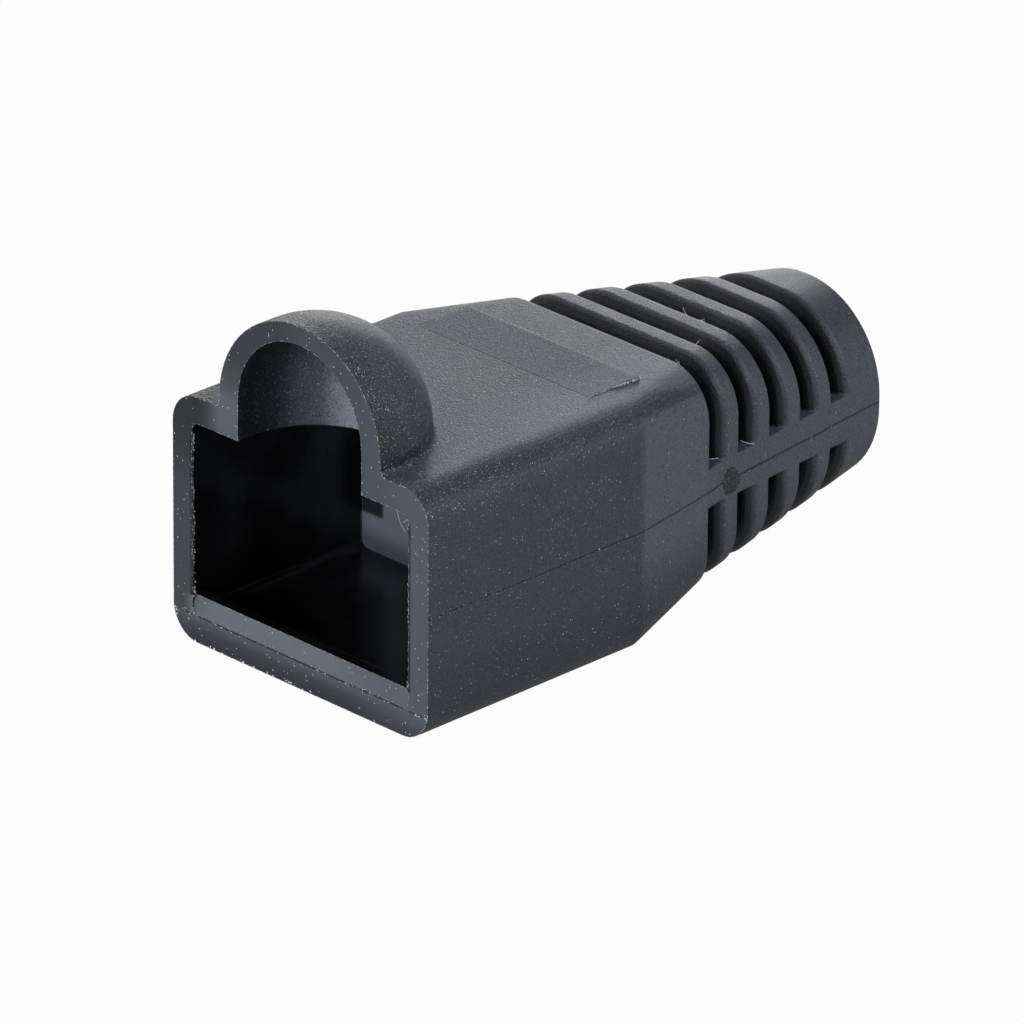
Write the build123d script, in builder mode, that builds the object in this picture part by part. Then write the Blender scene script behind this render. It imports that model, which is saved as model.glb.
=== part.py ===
# Strain relief boot for an eight-contact modular network plug.
# A soft sleeve moulded in one piece: a box that holds the plug, a hood over the
# plug's release latch, a tapering shoulder, and a slotted tail round the cable.
# Millimetres, Z up. The sleeve is drawn with its opening at Y = 0, facing -Y, and
# then set with the middle of its footprint on the origin. It stands on the flat
# bottom of the box at Z = 0 and is symmetric about X = 0.
import os
from build123d import *

# Plug cavity, sized on the body of the plug with a little play at each side
plug_w = 11.68
plug_play = 0.1
cavity_w = plug_w + 2 * plug_play
cavity_h = 8.13
cavity_depth = 9.05
cavity_corner = 0.4

# Box round the cavity
side_wall = 1.06
floor_t = 1.12
ceiling_t = 1.1
box_w = cavity_w + 2 * side_wall
box_h = floor_t + cavity_h + ceiling_t
box_len = 11.5
box_corner = 1.35

# Height of the cable axis at the box, which is also that of the mould's parting line
axis_rise = 0.105
axis_z = box_h / 2 + axis_rise

# Retaining lip across the bottom of the opening; its front leans back
lip_h = 0.8
lip_lean = 0.2
lip_top_depth = 0.5
lip_root = 0.3

# Latch hood: an arch that ends in a quarter dome
hood_r = 4.42
hood_rise = 0.35
hood_straight = 0.9
hood_foot_r = 0.25
hood_embed = 0.5

# Latch hollow inside the hood, open through the ceiling of the cavity
hood_side_wall = 1.04
hood_top_wall = 0.79
hood_back_wall = 1.14
latch_r = hood_r - hood_side_wall
latch_z = box_h + hood_rise + hood_r - hood_top_wall - latch_r
latch_straight = hood_straight + hood_r - hood_back_wall - latch_r

# Shoulder, from the box to the first slot, with its step in from the box on each side
shoulder_len = 4.48
shoulder_step_w = 0.95
shoulder_step_h = 0.395
shoulder_y = box_len + shoulder_len
shoulder_w = box_w - 2 * shoulder_step_w
shoulder_h = box_h - 2 * shoulder_step_h
shoulder_corner = 2.0

# Relief slots, in one row above and one row below the two side spines
slot_count = 5
slot_pitch = 2.06
slot_w = 0.84
spine_front_h = 1.6
spine_rear_h = 2.0

# First rib, with its step in from the shoulder on each side
rib_step_w = 0.25
rib_step_h = 0.06
rib_y = shoulder_y + slot_w
rib_w = shoulder_w - 2 * rib_step_w
rib_h = shoulder_h - 2 * rib_step_h
rib_corner = 2.1

# Each rib and the end collar start with a short straight lip. Its front edge is eased,
# and the two edges which that leaves are softened, so that it comes close to a round.
rib_lip = 0.5
rib_ease = 0.34
rib_soften = 0.13

# Cable bore: straight in the tail, and opening slightly towards the cavity before it
cable_d = 5.8
cable_clearance = 0.1
bore_r = cable_d / 2 + cable_clearance
bore_flare = 0.2
bore_lead = 1.0

# End collar, round the cable bore, which lies lower there than at the box
collar_len = 2.49
collar_wall_w = 1.075
collar_wall_h = 1.22
collar_flat = 0.25
tail_drop = 0.53
end_y = shoulder_y + (slot_count - 1) * slot_pitch + slot_w + collar_len
end_z = axis_z - tail_drop
end_w = 2 * (bore_r + collar_wall_w)
end_h = 2 * (bore_r + collar_wall_h)
end_corner = (min(end_w, end_h) - collar_flat) / 2

# Flat pad that carries the box top's level back over the falling shoulder
pad_w = 9.3
pad_len = 2.78
pad_reach = 2.05
pad_embed = 0.6
pad_mid_y = box_len + pad_reach - pad_len / 2

# Reach of cuts past the faces that they open, and of the edge selectors
cut_over = 1.0
pick = 0.01


def station(y, z):
    """Plane across the sleeve at depth y, seen from the opening, centred at height z."""
    return Plane(origin=(0, y, z), x_dir=(1, 0, 0), z_dir=(0, -1, 0))


def tail_section(y):
    """Centre height, width, height and corner radius of the tail at depth y."""
    part_way = (y - rib_y) / (end_y - rib_y)
    return (
        axis_z - part_way * tail_drop,
        rib_w + part_way * (end_w - rib_w),
        rib_h + part_way * (end_h - rib_h),
        rib_corner + part_way * (end_corner - rib_corner),
    )


# The full tail: a short neck in from the shoulder, then a slow taper to the rear end
with BuildPart() as tail:
    with BuildSketch(station(shoulder_y, axis_z)):
        RectangleRounded(shoulder_w, shoulder_h, shoulder_corner)
    with BuildSketch(station(rib_y, axis_z)):
        RectangleRounded(rib_w, rib_h, rib_corner)
    with BuildSketch(station(end_y, end_z)):
        RectangleRounded(end_w, end_h, end_corner)
    loft(ruled=True)

# Ribs and end collar: the tail parted by the slots, then the eased lip of each
with BuildPart() as ribs:
    add(tail.part)
    slot_starts = [shoulder_y + i * slot_pitch for i in range(slot_count)]
    for slot_y in slot_starts:
        with BuildSketch(station(slot_y, axis_z)):
            Rectangle(shoulder_w + cut_over, shoulder_h + cut_over)
        extrude(amount=-slot_w - rib_lip, mode=Mode.SUBTRACT)
    for slot_y in slot_starts:
        lip_y = slot_y + slot_w + rib_lip
        lip_z, lip_w, lip_tall, lip_corner = tail_section(lip_y)
        with BuildSketch(station(lip_y, lip_z)):
            RectangleRounded(lip_w, lip_tall, lip_corner)
        extrude(amount=rib_lip)
    for slot_y in slot_starts:
        front_y = slot_y + slot_w
        chamfer(ribs.edges().filter_by_position(Axis.Y, front_y - pick, front_y + pick), length=rib_ease)
        for edge_y in (front_y, front_y + rib_ease):
            sharp_edges = ribs.edges().filter_by_position(Axis.Y, edge_y - pick, edge_y + pick)
            chamfer(sharp_edges, length=rib_soften)

# Spines: the tail within a narrow band about its axis
with BuildPart() as spines:
    add(tail.part)
    with BuildSketch(Plane.YZ):
        with BuildLine():
            Polyline((shoulder_y, axis_z + spine_front_h / 2), (end_y, end_z + spine_rear_h / 2),
                     (end_y, end_z - spine_rear_h / 2), (shoulder_y, axis_z - spine_front_h / 2),
                     close=True)
        make_face()
    extrude(amount=shoulder_w, both=True, mode=Mode.INTERSECT)

with BuildPart() as sleeve:
    # Box
    with BuildSketch(station(0, box_h / 2)):
        RectangleRounded(box_w, box_h, box_corner)
    extrude(amount=-box_len)

    # Shoulder
    with BuildSketch(station(box_len, box_h / 2)):
        RectangleRounded(box_w, box_h, box_corner)
    with BuildSketch(station(shoulder_y, axis_z)):
        RectangleRounded(shoulder_w, shoulder_h, shoulder_corner)
    loft(ruled=True)

    # Tail, joined to the shoulder by its spines
    add(spines.part)
    add(ribs.part)

    # Pad on the shoulder
    with BuildSketch(Plane.XY.offset(box_h)):
        with Locations((0, pad_mid_y)):
            Rectangle(pad_w, pad_len)
    extrude(amount=-pad_embed)

    # Hood outside: the arch at the mouth, then the dome turned about its own upright axis
    hood_z = box_h + hood_rise
    with BuildSketch(station(0, 0)):
        with Locations((0, hood_z)):
            Circle(hood_r)
        with Locations((0, box_h - hood_embed)):
            Rectangle(2 * hood_r, hood_rise + hood_embed, align=(Align.CENTER, Align.MIN))
            Rectangle(2 * hood_r, hood_r, align=(Align.CENTER, Align.MAX), mode=Mode.SUBTRACT)
    extrude(amount=-hood_straight)
    with BuildSketch(station(hood_straight, 0)):
        with BuildLine():
            Polyline((0, hood_z + hood_r), (0, box_h - hood_embed), (hood_r, box_h - hood_embed),
                     (hood_r, hood_z))
            CenterArc((0, hood_z), hood_r, 0, 90)
        make_face()
    revolve(axis=Axis((0, hood_straight, 0), (0, 0, 1)), revolution_arc=180)

    # Small round where the hood meets the top of the box, open at the mouth
    hood_foot = (
        sleeve.edges()
        .filter_by_position(Axis.Z, box_h - pick, box_h + pick)
        .filter_by_position(Axis.X, -hood_r - pick, hood_r + pick)
        .filter_by_position(Axis.Y, pick, hood_straight + hood_r + pick)
    )
    fillet(hood_foot, radius=hood_foot_r)

    # Plug cavity
    with BuildSketch(station(0, floor_t + cavity_h / 2)):
        RectangleRounded(cavity_w, cavity_h, cavity_corner)
    extrude(amount=-cavity_depth, mode=Mode.SUBTRACT)

    # Retaining lip
    lip_top = floor_t + lip_h
    lip_rear = lip_lean + lip_top_depth
    with BuildSketch(Plane.YZ.offset(-cavity_w / 2 - lip_root)):
        with BuildLine():
            Polyline((0, floor_t - lip_root), (0, floor_t), (lip_lean, lip_top), (lip_rear, lip_top),
                     (lip_rear, floor_t - lip_root), close=True)
        make_face()
    extrude(amount=cavity_w + 2 * lip_root)

    # Latch hollow
    ceiling_z = box_h - ceiling_t - cavity_corner
    with BuildSketch(station(0, 0)):
        with Locations((0, latch_z)):
            Circle(latch_r)
        with Locations((0, ceiling_z)):
            Rectangle(2 * latch_r, latch_z - ceiling_z, align=(Align.CENTER, Align.MIN))
    extrude(amount=-latch_straight, mode=Mode.SUBTRACT)
    with BuildSketch(station(latch_straight, 0)):
        with BuildLine():
            Polyline((0, latch_z + latch_r), (0, ceiling_z), (latch_r, ceiling_z), (latch_r, latch_z))
            CenterArc((0, latch_z), latch_r, 0, 90)
        make_face()
    revolve(axis=Axis((0, latch_straight, 0), (0, 0, 1)), revolution_arc=180, mode=Mode.SUBTRACT)

    # Cable bore, along the line from the cavity's back wall to the middle of the rear end
    bore_front = Vector(0, cavity_depth, axis_z)
    bore_way = Vector(0, end_y, end_z) - bore_front
    flare_len = shoulder_len + box_len - cavity_depth
    flare_slope = bore_flare / flare_len
    with BuildSketch(Plane(origin=bore_front, x_dir=bore_way, z_dir=(1, 0, 0))):
        with BuildLine():
            Polyline((-bore_lead, 0), (-bore_lead, bore_r + flare_slope * (flare_len + bore_lead)),
                     (flare_len, bore_r), (bore_way.length + bore_lead, bore_r),
                     (bore_way.length + bore_lead, 0), close=True)
        make_face()
    revolve(axis=Axis(bore_front, bore_way), mode=Mode.SUBTRACT)

# The sleeve on its origin
with BuildPart() as boot:
    with Locations((0, -end_y / 2, 0)):
        add(sleeve.part)

boot.part.label = "boot"
os.makedirs("parts", exist_ok=True)
export_step(boot.part, "parts/boot.step")
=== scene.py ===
"""Looks for the strain relief boot: finish, torn mould skin, gate mark and a plain studio."""

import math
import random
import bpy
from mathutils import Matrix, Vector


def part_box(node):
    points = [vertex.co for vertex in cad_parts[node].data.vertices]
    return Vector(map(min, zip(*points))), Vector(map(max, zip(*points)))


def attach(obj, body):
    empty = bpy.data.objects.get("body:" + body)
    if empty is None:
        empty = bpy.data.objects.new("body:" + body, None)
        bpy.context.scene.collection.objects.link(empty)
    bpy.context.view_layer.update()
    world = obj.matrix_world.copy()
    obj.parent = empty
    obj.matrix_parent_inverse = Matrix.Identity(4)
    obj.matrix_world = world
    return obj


bl_info = {
    "name": "Strain Relief Boot",
    "version": (1, 0, 0),
    "blender": (4, 5, 0),
    "location": "View3D > Sidebar > Boot",
    "description": "Dresses the moulded boot and sets it in a plain studio",
    "category": "Object",
}

import bmesh
import bpy
from bpy.props import FloatProperty, FloatVectorProperty, IntProperty, PointerProperty
from mathutils import Matrix, Vector

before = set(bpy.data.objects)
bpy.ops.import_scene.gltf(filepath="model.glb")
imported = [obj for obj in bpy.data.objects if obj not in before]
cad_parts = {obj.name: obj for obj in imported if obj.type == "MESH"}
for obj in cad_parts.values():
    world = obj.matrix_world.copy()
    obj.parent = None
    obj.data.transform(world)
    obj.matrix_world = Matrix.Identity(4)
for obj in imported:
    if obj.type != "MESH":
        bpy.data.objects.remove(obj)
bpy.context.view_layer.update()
MM = 0.001
MOUTH_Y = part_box("boot")[0].y

# The part's main measures in millimetres, back from the mouth and up from the base
BOX_HALF = 7.0
BOX_LEN = 11.5
CORNER_R = 1.35
CAVITY_HALF = 5.94
FLOOR_Z = 1.12
LIP_Z = 1.92
CEILING_Z = 9.25
BOX_Z = 10.35
BACK_WALL_Y = 9.05
PAD_HALF = 4.65
PAD_FRONT_Y = 10.77
PAD_REAR_Y = 13.55
END_Y = 27.55
HOOD_R = 4.42
LATCH_R = 3.38
LATCH_Z = 10.95
LATCH_STRAIGHT = 0.8
SLOT_Y = 15.98
AXIS_Z = 5.28
SPINE_HALF = 5.72

# How far masks of the finish reach, in millimetres: back from the mouth on its rim and on the lip,
# out from the bore's axis, and past the pocket's walls
RIM_DEPTH = 0.25
LIP_DEPTH = 0.22
BORE_REACH = 3.35
WALL_PLAY = 0.03
BACK_WALL_PLAY = 0.1

# Tones that areas of the moulding's colour move towards
CLOUD_TONE = (0.050, 0.055, 0.070, 1.0)
# Tone of the painted light on the pocket's back wall
PAINTED_WALL_LIGHT_TONE = (0.095, 0.105, 0.128, 1.0)
# Tone of the painted light
PAINTED_LIGHT_TONE = (0.16, 0.175, 0.205, 1.0)
# Tone of the painted shade
PAINTED_SHADE_TONE = (0.007, 0.008, 0.010, 1.0)
PAD_TONE = (0.016, 0.019, 0.024, 1.0)
PIT_TONE = (0.010, 0.011, 0.014, 1.0)
# Tone of the painted glints
PAINTED_GLINT_TONE = (0.17, 0.18, 0.20, 1.0)
# Tone of the worn edges and the painted edge highlights
EDGE_WEAR_AND_HIGHLIGHT_TONE = (0.16, 0.17, 0.19, 1.0)
LINE_TONE = (0.003, 0.003, 0.004, 1.0)

# Tones of the small torn pieces
CURL_TONE = (0.22, 0.23, 0.26, 1.0)
TORN_DARK = (0.005, 0.005, 0.005, 1.0)
TORN_PALE = (0.17, 0.175, 0.19, 1.0)
CRUMB_DARK = (0.10, 0.11, 0.12, 1.0)
CRUMB_PALE = (0.75, 0.78, 0.82, 1.0)
FIBRE_PALE = (0.8, 0.8, 0.8, 1.0)

# Gloss of the moulding
PVC_IOR = 1.42
SHINE_TINT = (0.88, 0.93, 1.0, 1.0)

# The lamps: name, place, side of the square panel, and the setting that holds its power; in metres
LAMPS = (
    ("front_panel", (0.06, -0.68, 0.15), 0.2, "front"),
    ("rear_panel", (-0.50, 0.54, 0.10), 0.2, "rear"),
    ("rear_left_panel", (-0.45, 0.45, 0.40), 0.45, "rear_left"),
    ("right_panel", (0.50, 0.10, 0.48), 0.3, "right"),
    ("left_panel", (-0.60, -0.25, 0.30), 0.3, "left"),
)
LAMP_AIM = Vector((0.0, 0.0, 0.006))

# The floor: half its side and its drop below the part, in metres, and its grey for bounced light
FLOOR_HALF = 1.5
FLOOR_DROP = 0.05 * MM
FLOOR_GREY = (0.50, 0.50, 0.50, 1.0)
WHITE = (1.0, 1.0, 1.0, 1.0)


def place(x, y, z):
    """A point in metres from millimetres across, back from the mouth and up from the base."""
    return Vector((x * MM, MOUTH_Y + y * MM, z * MM))


class Wire:
    """A shader value or vector. Python's signs on it add the nodes that work it out."""

    def __init__(self, nodes, socket):
        self.nodes = nodes
        self.socket = socket

    def other(self, output):
        """Another output of the node that this one comes from, by name or number."""
        return Wire(self.nodes, self.socket.node.outputs[output])

    def _math(self, operation, *values):
        return self.nodes.node("ShaderNodeMath", {"operation": operation}, *values)

    def __add__(self, other):
        return self._math("ADD", self, other)

    __radd__ = __add__

    def __sub__(self, other):
        return self._math("SUBTRACT", self, other)

    def __rsub__(self, other):
        return self._math("SUBTRACT", other, self)

    def __mul__(self, other):
        return self._math("MULTIPLY", self, other)

    __rmul__ = __mul__

    def __truediv__(self, other):
        return self._math("DIVIDE", self, other)

    def __abs__(self):
        return self._math("ABSOLUTE", self)

    def __lt__(self, other):
        return self._math("LESS_THAN", self, other)

    def __gt__(self, other):
        return self._math("GREATER_THAN", self, other)

    def at_least(self, *others):
        """The largest of this value and the others."""
        most = self
        for other in others:
            most = self._math("MAXIMUM", most, other)
        return most

    def root(self):
        return self._math("SQRT", self)

    def fade(self, start, end):
        """0 at start and 1 at end, smooth between them; start may be the larger."""
        return self.nodes.node(
            "ShaderNodeMapRange", {"interpolation_type": "SMOOTHSTEP"}, self, start, end, 0.0, 1.0)

    def band(self, middle, half, soft):
        """1 within half of middle, and 0 from soft beyond it."""
        return abs(self - middle).fade(half + soft, half)


class Nodes:
    """The node tree of a material or a world, emptied, and what fills it."""

    def __init__(self, owner):
        owner.use_nodes = True
        self.tree = owner.node_tree
        self.tree.nodes.clear()

    def node(self, kind, settings, *values, out=0, **named):
        """Adds a node, sets it, fills its sockets in order or by name, and returns an output if any."""
        node = self.tree.nodes.new(kind)
        for key, value in settings.items():
            setattr(node, key, value)
        feeds = [(node.inputs[i], value) for i, value in enumerate(values) if value is not None]
        feeds += [(node.inputs[key.replace("_", " ")], value) for key, value in named.items()]
        for socket, value in feeds:
            if isinstance(value, Wire):
                self.tree.links.new(value.socket, socket)
            else:
                socket.default_value = value
        return Wire(self, node.outputs[out]) if node.outputs else None

    def mix(self, share, first, second):
        """A colour or vector that goes from first to second with share."""
        # A Mix node has five sockets for numbers and vectors before its two for colours
        unused = [None] * 5
        return self.node("ShaderNodeMix", {"data_type": "RGBA"}, share, *unused, first, second, out=2)

    def parts(self, vector):
        """The three parts of a vector."""
        first = self.node("ShaderNodeSeparateXYZ", {}, vector)
        return first, first.other(1), first.other(2)


class Finish(Nodes):
    """A material and its nodes."""

    def __init__(self, name):
        self.material = bpy.data.materials.new(name)
        super().__init__(self.material)

    def point(self):
        """Object position in millimetres, measured back from the mouth, and its three parts."""
        where = self.node("ShaderNodeTexCoord", {}, out="Object")
        moved = self.node("ShaderNodeVectorMath", {"operation": "SUBTRACT"}, where, (0.0, MOUTH_Y, 0.0))
        scale = (1 / MM, 1 / MM, 1 / MM)
        scaled = self.node("ShaderNodeVectorMath", {"operation": "MULTIPLY"}, moved, scale)
        return (scaled, *self.parts(scaled))

    def true_normal(self):
        """The surface normal, as the mesh has it."""
        return self.node("ShaderNodeNewGeometry", {}, out="True Normal")

    def soft_edges(self, radius):
        """The surface normal rounded over near edges, and a mask of those edges."""
        rounded = self.node("ShaderNodeBevel", {"samples": 8}, Radius=radius)
        match = self.node(
            "ShaderNodeVectorMath", {"operation": "DOT_PRODUCT"}, rounded, self.true_normal(), out="Value")
        return rounded, match.fade(0.995, 0.90)

    def noise(self, point, size, detail=2.0, rough=0.5):
        """Soft noise about 0 to 1, with blotches of size millimetres."""
        return self.node(
            "ShaderNodeTexNoise", {}, Vector=point, Scale=1 / size, Detail=detail, Roughness=rough)

    def specks(self, point, cell, radius, share):
        """Round specks: one in each chosen cell, of uneven radius. All in millimetres."""
        cells = self.node("ShaderNodeTexVoronoi", {}, Vector=point, Scale=1 / cell, Randomness=1.0)
        pick = self.node("ShaderNodeSeparateColor", {}, cells.other("Color"))
        reach = (pick.other(1) * 0.75 + 0.25) * radius
        return (pick < share) * (cells * cell / reach).fade(1.0, 0.6)

    def bump(self, height, normal=None):
        """A normal from a height in millimetres."""
        feeds = {"Normal": normal} if normal else {}
        return self.node("ShaderNodeBump", {}, Strength=1.0, Distance=MM, Height=height, **feeds)

    def surface(self, **sockets):
        """Ends the material in a Principled shader."""
        shader = self.node("ShaderNodeBsdfPrincipled", {}, **sockets)
        self.node("ShaderNodeOutputMaterial", {}, shader)
        return self.material


class MouldedSkin(Finish):
    """The finish of the moulding. A mask is 1 on one part of the moulding and 0 on the rest.

    Places and depths are in millimetres: x across, y back from the mouth, z up from the base.
    """

    def __init__(self, settings):
        super().__init__("soft_pvc_dark")
        self.settings = settings
        self.spot, self.x, self.y, self.z = self.point()
        self.nx, self.ny, self.nz = self.parts(self.true_normal())
        self.side = abs(self.x)
        self.mark_parts()
        self.mark_hood()
        self.mark_edges()
        self.pebbles = self.noise(self.spot, settings.grain_size, 2.0, 0.6)
        self.broken = self.noise(self.spot, 0.5)
        fall = (self.y - BOX_LEN - 0.2).at_least(0.0) * 0.031
        wander = (self.noise(self.spot, 2.5, 1.0) - 0.5) * 0.12
        self.seam_z = AXIS_Z - 0.01 - fall + wander

    def mark_parts(self):
        """Masks of the pocket, the bore, the mouth's rim, the pad, the tail and the grained skin."""
        x, y, z, side = self.x, self.y, self.z, self.side
        in_box = (side < CAVITY_HALF + WALL_PLAY) * (y > WALL_PLAY)
        in_box = in_box * (z < CEILING_Z + WALL_PLAY) * (z > FLOOR_Z - WALL_PLAY)
        self.lip_face = (z < LIP_Z + 0.01) * (y < LIP_DEPTH)
        self.polished = in_box * (1.0 - self.lip_face) * (y < BACK_WALL_Y - BACK_WALL_PLAY)
        self.back_wall = in_box * (abs(y - BACK_WALL_Y) < BACK_WALL_PLAY)
        from_axis = (x * x + (z - AXIS_Z) * (z - AXIS_Z)).root()
        self.in_bore = (from_axis < BORE_REACH) * (y > BACK_WALL_Y + 0.05)
        self.rim = (y < RIM_DEPTH) * (self.ny < -0.5) * (1.0 - self.polished)
        self.tail = y > SLOT_Y - 0.05
        self.rear = y.fade(BOX_LEN - 0.9, BOX_LEN - 0.3)
        self.pad = (side < PAD_HALF) * (y > PAD_FRONT_Y) * (y < PAD_REAR_Y) * (z > BOX_Z - 0.05)
        self.top = self.nz.fade(0.55, 0.9) * (z > BOX_Z - 0.9)
        inside = self.polished.at_least(self.back_wall, self.in_bore)
        self.skin = (1.0 - self.rim) * (1.0 - inside)
        self.flank = abs(self.nx).fade(0.5, 0.9) * self.skin

    def mark_hood(self):
        """Masks of the latch hollow, the hood's outside and the hood's foot."""
        x, y, z = self.x, self.y, self.z
        deep = (y - LATCH_STRAIGHT).at_least(0.0)
        rise = (z - LATCH_Z).at_least(0.0)
        reach = x * x + deep * deep
        from_dome = reach.root()
        in_arch = (reach + rise * rise).root() < LATCH_R + 0.06
        self.hollow = in_arch * (y > WALL_PLAY) * (z > CEILING_Z + WALL_PLAY)
        in_hood = (from_dome < HOOD_R + 0.02) * (z > BOX_Z + 0.05)
        self.hood = in_hood * (1.0 - self.hollow) * (1.0 - self.rim)
        self.hood_foot = from_dome.band(HOOD_R, 0.1, 0.25) * z.band(BOX_Z + 0.3, 0.12, 0.3) * self.skin

    def mark_edges(self):
        """The normals rounded over the edges, the masks of those edges, and the walls of the slots, which
        get painted shade.
        """
        self.rounded, self.edge = self.soft_edges(self.settings.edge_radius)
        self.rear_rounded, self.rear_edge = self.soft_edges(self.settings.rear_radius)
        turned = self.parts(self.rear_rounded)[1]
        walls = abs(turned).fade(0.28, 0.78).at_least(turned.fade(-0.16, -0.60))
        self.shaded_slot_wall = walls * self.tail * (self.y < END_Y - 0.3)

    def relief(self):
        """Height of the grain."""
        spread = (1.0 - self.pad * 0.5) * (1.0 - self.tail * 0.4) * (1.0 - self.hollow * 0.85)
        depth = self.skin * spread * (self.top * 0.5 + 0.7) * self.settings.grain_depth
        fine = self.noise(self.spot, 0.06, 1.0) * (self.top * 0.021 + 0.002)
        swell = self.noise(self.spot, 1.6, 1.0) * self.skin * 0.012
        clumps = self.noise(self.spot, 0.26, 3.0, 0.6) * self.top * (1.0 - self.pad * 0.6) * 0.035
        return self.pebbles * depth + fine + swell + clumps

    def mould_lines(self):
        """The fine dark lines of the mould: its seam, two on the mouth's rim and one round the pad."""
        y, z, side = self.y, self.z, self.side
        on_flank = (abs(self.nx) > 0.6) * self.skin
        unbroken = self.noise(self.spot, 0.24) + y.fade(3.0, 10.0) * 0.16 > 0.47
        seam = z.band(self.seam_z, self.tail * 0.015 + 0.014, 0.032) * on_flank * unbroken
        witness = z.band(FLOOR_Z + 0.01, 0.015, 0.03) * (side < BOX_HALF - 0.25) * (self.broken > 0.42)
        parting = side.band(CAVITY_HALF + 0.05, 0.045, 0.03) * (z > LIP_Z) * (z < CEILING_Z - 0.3)
        parting = parting * (self.noise(self.spot, 0.16) > 0.38)
        pad_front = y.band(PAD_FRONT_Y, 0.014, 0.03) * (side < PAD_HALF)
        pad_sides = side.band(PAD_HALF, 0.02, 0.03) * (y > PAD_FRONT_Y) * (y < PAD_REAR_Y + 0.05)
        round_pad = pad_front.at_least(pad_sides) * self.top * (self.broken > 0.3)
        return seam.at_least(witness.at_least(parting) * self.rim, round_pad)

    def dust_and_sparkle(self):
        """White specks: loose dust, the grain's painted sparkle, and specks along the seam and the mouth.
        """
        loose = self.specks(self.spot, 0.30, 0.040, 0.30 + self.rim * 0.3 - self.polished * 0.27)
        loose = loose * (1.0 - self.in_bore) * self.broken * 1.1
        spread = loose.at_least(self.painted_sparkle() * 0.85) * (1.0 - self.shaded_slot_wall)
        along_seam = self.z.band(self.seam_z, 0.05, 0.06) * self.skin * self.y.fade(BOX_LEN, 9.0)
        seam_dust = self.specks(self.spot, 0.14, 0.05, 0.7) * along_seam
        return spread.at_least(seam_dust * 0.8, self.mouth_dust() * self.rim, self.torn_edges() * 0.75)

    def painted_sparkle(self):
        """Painted sparkle of the grain, as white specks: strongest on the box top round the hood."""
        y, z = self.y, self.z
        near = y.fade(13.0, 4.0)
        share = near * z.fade(6.0, 9.8) * 0.5 + z.fade(10.2, 11.0) * 0.4 + 0.18
        sparkle = self.specks(self.spot, 0.10, 0.028, share)
        sparkle = sparkle * self.noise(self.spot, 0.3, 1.0).fade(0.3, 0.7)
        bright = near * z.fade(8.6, 10.2) * y.fade(6.5, 3.5).at_least(0.45) * 0.65
        glitter = self.specks(self.spot, 0.075, 0.024, bright)
        glitter = glitter * self.noise(self.spot, 0.5, 1.0).fade(0.3, 0.6)
        return sparkle.at_least(glitter) * self.skin * (1.0 - self.hollow * 0.6)

    def mouth_dust(self):
        """Specks on the rim, in its witness line and on its rounded lower outline."""
        settled = self.specks(self.spot, 0.17, 0.034, 0.5) * (self.broken * 1.2 + 0.1)
        in_line = self.z.band(FLOOR_Z + 0.03, 0.05, 0.12) * (self.broken > 0.4) * 0.9
        crumbs = self.specks(self.spot, 0.10, 0.040, 0.8) * in_line
        across = (self.side - (BOX_HALF - CORNER_R)).at_least(0.0)
        down = (CORNER_R - self.z).at_least(0.0)
        outline = ((across * across + down * down).root() > CORNER_R - 0.12) * self.z.fade(3.2, 2.2)
        on_foot = outline * self.x.fade(6.5, 0.0) * (self.broken > 0.42)
        return settled.at_least(crumbs, self.specks(self.spot, 0.15, 0.085, 0.6) * on_foot)

    def torn_edges(self):
        """White scraps along the mouth's edges, more of them near the base."""
        scraps = self.noise(self.spot, 0.12) + self.z.fade(1.6, 0.8) * 0.07 > 0.56
        return self.edge * self.rim.at_least(self.y < 0.1) * scraps

    def painted_light_areas(self):
        """Areas that the photograph's light makes paler, on the rim, hollow, hood, top and shoulder."""
        x, y, z = self.x, self.y, self.z
        right = x.fade(2.0, 6.5) * 0.18
        along_lip = self.side.fade(6.5, 5.8) * (x.fade(4.5, 0.5) * 0.24 + 0.36)
        lip = self.lip_face * (z > FLOOR_Z + 0.01) * along_lip
        under = (z < FLOOR_Z + 0.01) * z.fade(0.55, 1.1) * 0.22
        left_foot = x.band(-3.9, 0.4, 0.8) * z.band(10.2, 0.6, 0.8) * 0.3
        rim = self.rim * right.at_least(lip, under, left_foot)
        behind_box = y.fade(BOX_LEN - 0.3, BOX_LEN + 0.3) * (0.3 - self.tail * 0.12)
        shoulder = self.flank * behind_box * z.fade(1.2, 4.5)
        hollow = self.hollow * y.fade(3.2, 4.0) * z.fade(12.2, 11.0)
        from_glow = ((x - 1.5) * (x - 1.5) + (y - 4.1) * (y - 4.1)).root()
        hood = self.hood * z.fade(10.9, 12.0) * from_glow.fade(2.4, 0.6) * 0.55
        top = self.top * y.fade(3.0, 11.0) * x.fade(1.5, 5.0) * (1.0 - self.tail) * 0.3
        return rim.at_least(shoulder, hollow, hood, top)

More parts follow.
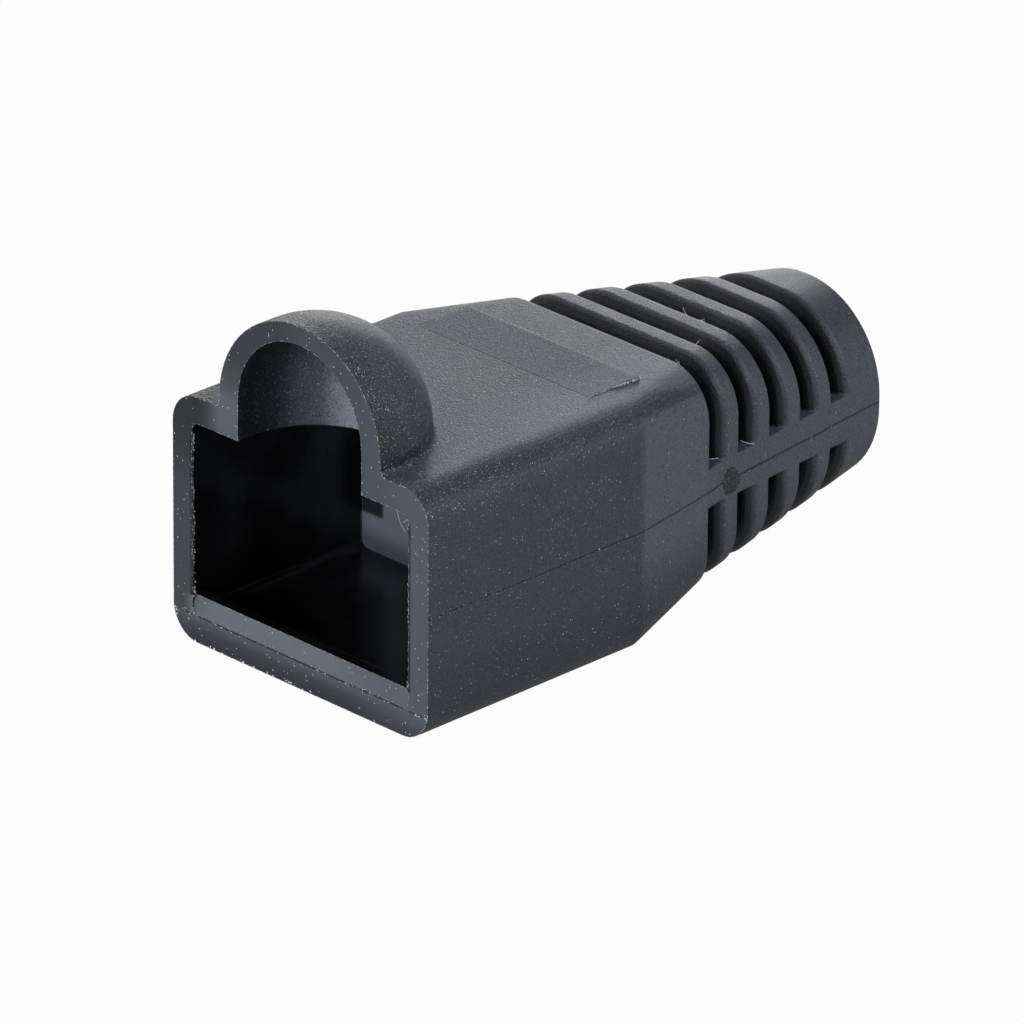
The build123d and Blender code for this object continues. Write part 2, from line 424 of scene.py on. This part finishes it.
    def painted_shade_areas(self):
        """Areas that the photograph's light leaves darker, on the same parts and low on the box."""
        x, y, z, nz = self.x, self.y, self.z, self.nz
        left = x.fade(-4.5, -5.6) * (z.fade(5.0, 9.6) * 0.75 + 0.15)
        arch = z.fade(11.5, 12.8) * x.fade(0.3, -1.2) * 0.5
        rim = self.rim * left.at_least(arch, z.fade(1.0, 0.1) * 0.55)
        low = self.flank * z.fade(4.5, 1.0) * 0.48
        corner = nz.band(0.76, 0.10, 0.12) * self.side.fade(5.4, 5.8) * self.skin * 0.65
        box = low.at_least(corner) * (1.0 - self.tail)
        hollow = self.hollow * y.fade(3.0, 1.7) * 0.9
        hood = self.hood * y.fade(1.9, 0.3) * x.fade(-1.5, 0.5) * 0.6
        foot = self.hood_foot * y.fade(4.0, 1.5) * 0.8
        belly = nz.fade(-0.1, -0.7) * self.tail * 0.7
        return rim.at_least(box, self.back_wall * self.ceiling_shadow() * 0.95, hollow, hood, foot, belly)

    def ceiling_shadow(self):
        """The painted shadow of the pocket's ceiling on its back wall, beside the wall's painted light."""
        return self.z.fade(2.55, 2.75) * self.x.fade(-4.7, -4.9)

    def colour(self, white, lines):
        """The moulding's colour, with one layer after another over it."""
        settings, skin = self.settings, self.skin
        clouds = self.noise(self.spot, 2.8, 3.0).fade(0.35, 0.75) * 0.3
        # Painted light on the pocket's back wall: a lit patch that fades out towards its foot and is cut by
        # the ceiling's painted shadow.
        painted_wall_light = self.back_wall * self.z.fade(1.3, 2.3) * (1.0 - self.ceiling_shadow())
        pits = self.pebbles.fade(0.52, 0.30) * skin * 0.6
        # Painted glints of the grain, stronger on the top and towards its rear.
        strength = self.top * (self.y.fade(3.0, 11.0) * 0.25 + 0.3) + 0.22
        painted_glints = self.noise(self.spot, 0.07, 1.0).fade(0.56, 0.72) * skin * strength
        painted_glints = painted_glints * (1.0 - self.shaded_slot_wall)
        # Paler edges: rubbed wear and painted edge highlights, faint on the shoulder's and ribs' rounded
        # rear edges.
        worn_and_highlit_edges = (self.edge * 0.25).at_least(self.rear_edge * self.rear * 0.05) * (1.0 - self.polished)
        layers = (
            # Painted shade: the pocket's walls and the bore are painted near black as shade inside them.
            (self.polished.at_least(self.in_bore), settings.pocket_shade_colour),
            (clouds, CLOUD_TONE),
            # Painted shade on the walls of the slots.
            (self.shaded_slot_wall, settings.slot_shade_colour),
            (painted_wall_light, PAINTED_WALL_LIGHT_TONE),
            # Painted light on the rim, hollow, hood, top and shoulder.
            (self.painted_light_areas(), PAINTED_LIGHT_TONE),
            # Painted shade on the rim, box, hollow, hood, its foot, the tail's underside and the back wall.
            (self.painted_shade_areas(), PAINTED_SHADE_TONE),
            (self.pad * 0.08, PAD_TONE),
            (pits, PIT_TONE),
            (painted_glints, PAINTED_GLINT_TONE),
            (worn_and_highlit_edges, EDGE_WEAR_AND_HIGHLIGHT_TONE),
            (lines * 0.85, LINE_TONE),
            (white, settings.dust_and_sparkle_colour),
        )
        tone = settings.skin_colour
        for share, layer in layers:
            tone = self.mix(share, tone, layer)
        return tone

    def finished(self):
        """Ends the material in its shader."""
        white, lines = self.dust_and_sparkle(), self.mould_lines()
        rough = 0.46 + self.pebbles * self.skin * 0.14 + self.rim * 0.06 + self.pad * 0.06 + white * 0.2
        rough = rough - self.polished * 0.26 - self.hood * 0.06
        rounded = self.mix(self.rear, self.rounded, self.rear_rounded)
        normal = self.bump(self.relief() - lines * 0.03, rounded)
        colour = self.colour(white, lines)
        return self.surface(
            Base_Color=colour, Roughness=rough, IOR=PVC_IOR, Specular_Tint=SHINE_TINT, Normal=normal)


def make_piece(name, mesh, material):
    """An object from a bmesh, which rides on the boot and has the given finish."""
    bmesh.ops.recalc_face_normals(mesh, faces=mesh.faces[:])
    data = bpy.data.meshes.new(name)
    mesh.to_mesh(data)
    mesh.free()
    data.materials.append(material)
    piece = bpy.data.objects.new(name, data)
    bpy.context.collection.objects.link(piece)
    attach(piece, "root")


def ragged_skin(rng, start, end, reach, thickness, step):
    """A thin skin from start to end whose free edge reaches out unevenly."""
    mesh = bmesh.new()
    root = mesh.edges.new([mesh.verts.new(start), mesh.verts.new(end)])
    bmesh.ops.subdivide_edges(mesh, edges=[root], cuts=int((end - start).length / step))
    grown = bmesh.ops.extrude_edge_only(mesh, edges=mesh.edges[:])["geom"]
    phase = rng.uniform(0.0, math.tau)
    for vert in (item for item in grown if isinstance(item, bmesh.types.BMVert)):
        along = (vert.co - start).length / MM
        swell = 0.55 + 0.25 * math.sin(phase + along * 1.9) + 0.2 * math.sin(along * 4.7)
        vert.co += reach * max(0.08, swell * rng.uniform(0.4, 1.0))
    bmesh.ops.solidify(mesh, geom=mesh.faces[:], thickness=thickness)
    return mesh


def add_thread(mesh, start, end, lean, turn, radius):
    """Adds a thin round thread from start to end, which bows away from lean through the angle turn."""
    chord = end - start
    axis = chord.cross(Vector(lean)).normalized()
    centre = (start + end) / 2 + axis.cross(chord) / 2 / math.tan(turn / 2)
    ring = bmesh.ops.create_circle(mesh, cap_ends=True, segments=6, radius=radius)["verts"]
    way = axis.cross(start - centre).to_track_quat("Z", "Y").to_matrix()
    bmesh.ops.rotate(mesh, verts=ring, cent=(0.0, 0.0, 0.0), matrix=way)
    bmesh.ops.translate(mesh, verts=ring, vec=start)
    bmesh.ops.spin(mesh, geom=[ring[0].link_faces[0]], cent=centre, axis=axis, angle=turn, steps=8)
    bmesh.ops.holes_fill(mesh, edges=[edge for edge in mesh.edges if edge.is_boundary])


class BootFinishSettings(bpy.types.PropertyGroup):
    skin_colour: FloatVectorProperty(
        name="Skin colour", description="Colour of the grained outside", subtype="COLOR", size=4,
        default=(0.038, 0.043, 0.057, 1.0), min=0.0, max=1.0)
    # Painted shade inside the pocket and the bore; the walls' polish is in the roughness.
    pocket_shade_colour: FloatVectorProperty(
        name="Pocket colour", description="Colour of the polished walls of the pocket", subtype="COLOR",
        size=4, default=(0.0045, 0.0045, 0.0058, 1.0), min=0.0, max=1.0)
    # Painted shade: the walls of the relief slots are painted near black where shade falls in the slots.
    slot_shade_colour: FloatVectorProperty(
        name="Slot colour", description="Colour of the walls of the relief slots", subtype="COLOR",
        size=4, default=(0.004, 0.004, 0.0055, 1.0), min=0.0, max=1.0)
    # Also the colour of the grain's painted sparkle and of the torn skin's painted glints.
    dust_and_sparkle_colour: FloatVectorProperty(
        name="Dust colour", description="Colour of the dust specks", subtype="COLOR", size=4,
        default=(0.62, 0.65, 0.70, 1.0), min=0.0, max=1.0)
    flash_colour: FloatVectorProperty(
        name="Flash colour", description="Colour of the torn skin at the mould's edges", subtype="COLOR",
        size=4, default=(0.012, 0.012, 0.015, 1.0), min=0.0, max=1.0)
    gate_colour: FloatVectorProperty(
        name="Gate colour", description="Colour of the torn gate mark", subtype="COLOR", size=4,
        default=(0.017, 0.018, 0.021, 1.0), min=0.0, max=1.0)
    fibre_colour: FloatVectorProperty(
        name="Fibre colour", description="Colour of the loose fibres", subtype="COLOR", size=4,
        default=(0.34, 0.31, 0.28, 1.0), min=0.0, max=1.0)
    grain_size: FloatProperty(
        name="Grain size", description="Size of one pebble of the skin's grain, in millimetres",
        default=0.095, min=0.02, max=1.0)
    grain_depth: FloatProperty(
        name="Grain depth", description="Depth of the skin's grain, in millimetres",
        default=0.075, min=0.0, max=0.2)
    edge_radius: FloatProperty(
        name="Edge radius", description="Softness of the moulded edges", default=0.06 * MM,
        min=0.0, max=1.0 * MM, subtype="DISTANCE", unit="LENGTH")
    rear_radius: FloatProperty(
        name="Rear radius", description="Softness of the shoulder's and the ribs' edges", default=0.22 * MM,
        min=0.0, max=1.0 * MM, subtype="DISTANCE", unit="LENGTH")


class BootDetailSettings(bpy.types.PropertyGroup):
    flash_width: FloatProperty(
        name="Flash width", description="How far the torn skin reaches over the opening",
        default=0.11 * MM, subtype="DISTANCE", unit="LENGTH")
    flash_thickness: FloatProperty(
        name="Flash thickness", description="Thickness of the torn skin", default=0.02 * MM,
        subtype="DISTANCE", unit="LENGTH")
    gate_length: FloatProperty(
        name="Gate length", description="Length of the torn gate mark", default=1.15 * MM,
        subtype="DISTANCE", unit="LENGTH")
    crumb_size: FloatProperty(
        name="Crumb size", description="Radius of the largest crumbs of torn skin",
        default=0.05 * MM, subtype="DISTANCE", unit="LENGTH")
    fibre_thickness: FloatProperty(
        name="Fibre thickness", description="Radius of a loose fibre", default=0.009 * MM,
        subtype="DISTANCE", unit="LENGTH")
    seed: IntProperty(
        name="Seed", description="Start of the raggedness of the torn edges", default=4, min=0)


class BootStageSettings(bpy.types.PropertyGroup):
    azimuth: FloatProperty(
        name="Azimuth", description="Turn of the camera to the right of the mouth", subtype="ANGLE",
        default=math.radians(45.238))
    elevation: FloatProperty(
        name="Elevation", description="Height of the camera above the horizon", subtype="ANGLE",
        default=math.radians(24.7645))
    roll: FloatProperty(
        name="Roll", description="Tilt of the camera about its line of sight", subtype="ANGLE",
        default=math.radians(0.425))
    distance: FloatProperty(
        name="Distance", description="Camera to the point that it looks at", default=0.4576,
        subtype="DISTANCE", unit="LENGTH")
    aim: FloatVectorProperty(
        name="Aim", description="Point that the camera looks at", subtype="XYZ", unit="LENGTH", size=3,
        default=(0.003650, -0.0060475, 0.0061772))
    lens: FloatProperty(
        name="Lens", description="Focal length on a 36 mm sensor, in millimetres", default=421.875)
    front: FloatProperty(
        name="Front", description="Power of the low panel before the mouth", default=3.9, subtype="POWER")
    rear: FloatProperty(
        name="Rear", description="Power of the low panel to the rear left", default=1.15, subtype="POWER")
    rear_left: FloatProperty(
        name="Rear left", description="Power of the raised panel to the rear left", default=1.2,
        subtype="POWER")
    right: FloatProperty(
        name="Right", description="Power of the raised panel to the right", default=3.9, subtype="POWER")
    left: FloatProperty(
        name="Left", description="Power of the raised panel to the left", default=1.2, subtype="POWER")
    room: FloatProperty(
        name="Room", description="Strength of the even light of the room", default=0.02, min=0.0)


class BOOT_OT_skin(bpy.types.Operator):
    """Gives the moulding its grained skin, matt rim, polished pocket, seams and dust, with painted light
    and shade
    """

    bl_idname = "boot.skin"
    bl_label = "Finish the moulding"
    bl_options = {"REGISTER", "UNDO"}

    def execute(self, context):
        material = MouldedSkin(context.scene.boot_finish).finished()
        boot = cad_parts["boot"]
        boot.data.materials.clear()
        boot.data.materials.append(material)
        return {"FINISHED"}


class BOOT_OT_flash(bpy.types.Operator):
    """Adds the torn skin along the mouth's inner edges, at its corner and along the pad"""

    bl_idname = "boot.flash"
    bl_label = "Add the torn mould skin"
    bl_options = {"REGISTER", "UNDO"}

    # Length of one tooth of the torn skin at the mouth and the pad, and radius of a curl
    mouth_step = 0.09 * MM
    pad_step = 0.07 * MM
    curl_radius = 0.03 * MM

    def execute(self, context):
        settings = context.scene.boot_detail
        rng = random.Random(settings.seed)
        torn = self.torn_finish(context.scene.boot_finish)
        width, thickness = settings.flash_width, settings.flash_thickness
        for name, hand, spread in (("mouth_skin_left", -1.0, 1.0), ("mouth_skin_right", 1.0, 1.8)):
            start = place(hand * CAVITY_HALF, 0.05, LIP_Z - 0.1)
            end = place(hand * CAVITY_HALF, 0.05, CEILING_Z - 0.5)
            reach = Vector((-hand, 0.15, 0.0)) * width * spread
            make_piece(name, ragged_skin(rng, start, end, reach, thickness, self.mouth_step), torn)

        start = place(PAD_HALF, PAD_FRONT_Y, BOX_Z + 0.01)
        end = place(PAD_HALF, PAD_REAR_Y, BOX_Z + 0.01)
        reach = Vector((0.9, 0.0, 0.25)) * width * 1.2
        make_piece("pad_skin", ragged_skin(rng, start, end, reach, thickness, self.pad_step), torn)
        self.add_curls()
        return {"FINISHED"}

    def torn_finish(self, tones):
        finish = Finish("torn_skin")
        spot = finish.point()[0]
        # Painted glints on the torn skin, in the dust colour.
        glint = finish.noise(spot, 0.08).fade(0.50, 0.62) * 0.9
        colour = finish.mix(glint, tones.flash_colour, tones.dust_and_sparkle_colour)
        return finish.surface(
            Base_Color=colour, Roughness=0.32, Normal=finish.bump(finish.noise(spot, 0.05) * 0.02))

    def add_curls(self):
        """Adds the curls at the mouth: start, end, the side that each bows away from, and its turn."""
        curls = (
            (place(5.74, 0.06, 8.50), place(5.30, 0.04, 9.31), (1.0, 0.0, 0.0), 50.0),
            (place(5.60, 0.06, 8.85), place(5.93, 0.04, 9.24), (0.0, 0.0, 1.0), 40.0),
            (place(6.04, 0.05, 1.60), place(6.84, 0.05, 1.56), (0.0, 0.0, 1.0), 60.0),
        )
        mesh = bmesh.new()
        for start, end, lean, turn in curls:
            add_thread(mesh, start, end, lean, math.radians(turn), self.curl_radius)
        pale = Finish("curled_skin").surface(Base_Color=CURL_TONE, Roughness=0.3)
        make_piece("corner_curl", mesh, pale)


class BOOT_OT_gate(bpy.types.Operator):
    """Adds the torn mark that the mould's gate left on the right spine"""

    bl_idname = "boot.gate"
    bl_label = "Add the gate mark"
    bl_options = {"REGISTER", "UNDO"}

    def execute(self, context):
        settings = context.scene.boot_detail
        rng = random.Random(settings.seed)
        finish = Finish("gate_mark")
        torn = finish.noise(finish.point()[0], 0.08, 3.0, 0.7)
        dark = finish.mix(torn.fade(0.47, 0.37), context.scene.boot_finish.gate_colour, TORN_DARK)
        colour = finish.mix(torn.fade(0.53, 0.66) * 0.7, dark, TORN_PALE)
        material = finish.surface(Base_Color=colour, Roughness=0.7, Normal=finish.bump(torn * 0.08))

        mesh = bmesh.new()
        bmesh.ops.create_icosphere(mesh, subdivisions=4, radius=settings.gate_length / 2)
        bmesh.ops.scale(mesh, verts=mesh.verts, vec=(0.11, 1.06, 0.98))
        for vert in mesh.verts:
            vert.co *= rng.uniform(0.84, 1.05)
        lean = Matrix.Rotation(math.radians(-26.0), 3, "X")
        bmesh.ops.rotate(mesh, verts=mesh.verts, cent=(0.0, 0.0, 0.0), matrix=lean)
        bmesh.ops.translate(mesh, verts=mesh.verts, vec=place(SPINE_HALF - 0.01, 17.48, 5.06))
        make_piece("gate_mark", mesh, material)
        return {"FINISHED"}


class BOOT_OT_loose(bpy.types.Operator):
    """Adds the crumbs of torn skin and the loose fibres"""

    bl_idname = "boot.loose"
    bl_label = "Add crumbs and fibres"
    bl_options = {"REGISTER", "UNDO"}

    def execute(self, context):
        settings = context.scene.boot_detail
        self.add_crumbs(random.Random(settings.seed), settings.crumb_size)
        self.add_fibres(settings.fibre_thickness, context.scene.boot_finish.fibre_colour)
        return {"FINISHED"}

    def add_crumbs(self, rng, size):
        """Adds crumbs along the torn edges: where each run starts and ends, and how many it has."""
        left, right, pad = CAVITY_HALF - 0.08, CAVITY_HALF - 0.10, PAD_HALF + 0.02
        runs = (
            (place(-left, 0.08, LIP_Z), place(-left, 0.08, 2.6), 9),
            (place(-left - 0.03, 0.08, 2.6), place(-left - 0.03, 0.08, 8.6), 16),
            (place(right, 0.12, 2.2), place(right, 0.12, 8.4), 12),
            (place(-6.90, 0.08, 1.5), place(-6.90, 0.08, 2.6), 6),
            (place(pad, PAD_FRONT_Y, BOX_Z), place(pad + 0.02, PAD_REAR_Y, BOX_Z), 34),
            (place(pad + 0.04, 12.4, BOX_Z - 0.02), place(pad + 0.08, PAD_REAR_Y, BOX_Z - 0.02), 16),
            (place(SPINE_HALF, 16.9, 5.45), place(SPINE_HALF, 18.1, 5.0), 9),
        )
        mesh = bmesh.new()
        for start, end, count in runs:
            for _ in range(count):
                radius = size * rng.uniform(0.35, 1.0)
                crumb = bmesh.ops.create_icosphere(mesh, subdivisions=1, radius=radius)["verts"]
                shape = Vector((rng.uniform(0.5, 1.0), rng.uniform(0.5, 1.0), rng.uniform(0.5, 1.0)))
                bmesh.ops.scale(mesh, verts=crumb, vec=shape)
                bmesh.ops.translate(mesh, verts=crumb, vec=start.lerp(end, rng.random()))
        finish = Finish("crumbs")
        colour = finish.mix(finish.noise(finish.point()[0], 0.2), CRUMB_DARK, CRUMB_PALE)
        make_piece("torn_crumbs", mesh, finish.surface(Base_Color=colour, Roughness=0.6))

    def add_fibres(self, radius, tone):
        """Adds the hairs on the ribs: where each starts and ends, and its turn."""
        hairs = (
            (place(0.31, 20.32, 9.80), place(0.85, 20.00, 9.74), 20.0),
            (place(1.45, 19.98, 9.74), place(1.73, 20.05, 9.86), 60.0),
            (place(1.71, 20.12, 9.72), place(1.75, 19.86, 9.84), 30.0),
            (place(2.97, 18.29, 9.60), place(2.74, 18.80, 9.66), 50.0),
            (place(4.28, 16.28, 9.74), place(3.90, 16.30, 9.98), 20.0),
            (place(4.24, 16.24, 9.74), place(4.14, 16.20, 10.02), 20.0),
            (place(5.66, 16.10, 6.42), place(5.72, 16.84, 6.24), 40.0),
            (place(5.66, 18.10, 6.58), place(5.70, 18.86, 6.20), 40.0),
        )
        mesh = bmesh.new()
        for start, end, turn in hairs:
            add_thread(mesh, start, end, (1.0, 0.2, 0.6), math.radians(turn), radius)
        finish = Finish("fibres")
        colour = finish.mix(finish.noise(finish.point()[0], 0.4), tone, FIBRE_PALE)
        make_piece("loose_fibres", mesh, finish.surface(Base_Color=colour, Roughness=0.5))


class BOOT_OT_stage(bpy.types.Operator):
    """Sets the floor, the lamps, the room light and the camera"""

    bl_idname = "boot.stage"
    bl_label = "Set the stage"
    bl_options = {"REGISTER", "UNDO"}

    def execute(self, context):
        settings = context.scene.boot_stage
        self.add_floor()
        for name, where, size, power in LAMPS:
            self.add_lamp(name, Vector(where), size, getattr(settings, power))
        self.add_room(settings.room)
        self.add_camera(context, settings)
        return {"FINISHED"}

    def add_floor(self):
        mesh = bmesh.new()
        bmesh.ops.create_grid(mesh, x_segments=1, y_segments=1, size=FLOOR_HALF)
        data = bpy.data.meshes.new("floor")
        mesh.to_mesh(data)
        mesh.free()
        floor = bpy.data.objects.new("floor", data)
        floor.location.z = -FLOOR_DROP
        bpy.context.collection.objects.link(floor)
        data.materials.append(self.floor_finish())

    def floor_finish(self):
        """White to the camera, grey to bounced light, and a little of both in reflections."""
        finish = Finish("floor_white")
        grey = finish.node("ShaderNodeBsdfDiffuse", {}, Color=FLOOR_GREY)
        glow = finish.node("ShaderNodeEmission", {}, Color=WHITE, Strength=1.0)
        seen = finish.node("ShaderNodeLightPath", {}, out="Is Camera Ray")
        share = (seen * 0.96).at_least(seen.other("Is Glossy Ray") * 0.2, seen.other("Is Transmission Ray"))
        mixed = finish.node("ShaderNodeMixShader", {}, share, grey, glow)
        finish.node("ShaderNodeOutputMaterial", {}, mixed)
        return finish.material

    def add_lamp(self, name, where, size, power):
        data = bpy.data.lights.new(name, "AREA")
        data.shape = "SQUARE"
        data.size = size
        data.energy = power
        lamp = bpy.data.objects.new(name, data)
        lamp.location = where
        lamp.rotation_euler = (LAMP_AIM - where).to_track_quat("-Z", "Y").to_euler()
        bpy.context.collection.objects.link(lamp)

    def add_room(self, strength):
        """Adds a world that is white to the camera, faint in reflections and fainter as light."""
        world = bpy.data.worlds.new("room")
        room = Nodes(world)
        seen = room.node("ShaderNodeLightPath", {}, out="Is Camera Ray")
        share = seen.at_least(seen.other("Is Transmission Ray")) + seen.other("Is Glossy Ray") * 0.08
        level = room.node("ShaderNodeMapRange", {}, share, 0.0, 1.0, strength, 1.0)
        glow = room.node("ShaderNodeBackground", {}, WHITE, level)
        room.node("ShaderNodeOutputWorld", {}, glow)
        bpy.context.scene.world = world

    def add_camera(self, context, settings):
        turn, lift, roll = settings.azimuth, settings.elevation, settings.roll
        right = Vector((math.cos(turn), math.sin(turn), 0.0))
        ahead = Vector((-math.sin(turn) * math.cos(lift), math.cos(turn) * math.cos(lift), -math.sin(lift)))
        upward = right.cross(ahead)
        across = right * math.cos(roll) + upward * math.sin(roll)
        upright = upward * math.cos(roll) - right * math.sin(roll)
        data = bpy.data.cameras.new("camera")
        data.sensor_width = 36.0
        data.lens = settings.lens
        data.clip_start = 0.01
        camera = bpy.data.objects.new("camera", data)
        place_at = Matrix((across, upright, -ahead)).transposed().to_4x4()
        place_at.translation = Vector(settings.aim) - ahead * settings.distance
        camera.matrix_world = place_at
        context.collection.objects.link(camera)
        context.scene.camera = camera
        context.scene.view_settings.view_transform = "Standard"


class BOOT_PT_panel(bpy.types.Panel):
    """Settings and steps for the strain relief boot"""

    bl_label = "Strain relief boot"
    bl_idname = "BOOT_PT_panel"
    bl_space_type = "VIEW_3D"
    bl_region_type = "UI"
    bl_category = "Boot"

    def draw(self, context):
        layout = self.layout
        for name, owner in SETTINGS.items():
            box = layout.box()
            group = getattr(context.scene, name)
            for key in owner.__annotations__:
                box.prop(group, key)
        for step in STEPS:
            layout.operator(step.bl_idname)


SETTINGS = {
    "boot_finish": BootFinishSettings,
    "boot_detail": BootDetailSettings,
    "boot_stage": BootStageSettings,
}
STEPS = (BOOT_OT_skin, BOOT_OT_flash, BOOT_OT_gate, BOOT_OT_loose, BOOT_OT_stage)
CLASSES = (*SETTINGS.values(), *STEPS, BOOT_PT_panel)


def register():
    for cls in CLASSES:
        bpy.utils.register_class(cls)
    for name, owner in SETTINGS.items():
        setattr(bpy.types.Scene, name, PointerProperty(type=owner))


def unregister():
    for name in SETTINGS:
        delattr(bpy.types.Scene, name)
    for cls in reversed(CLASSES):
        bpy.utils.unregister_class(cls)


def main():
    register()
    bpy.ops.boot.skin()
    bpy.ops.boot.flash()
    bpy.ops.boot.gate()
    bpy.ops.boot.loose()
    bpy.ops.boot.stage()


if __name__ == "__main__":
    main()
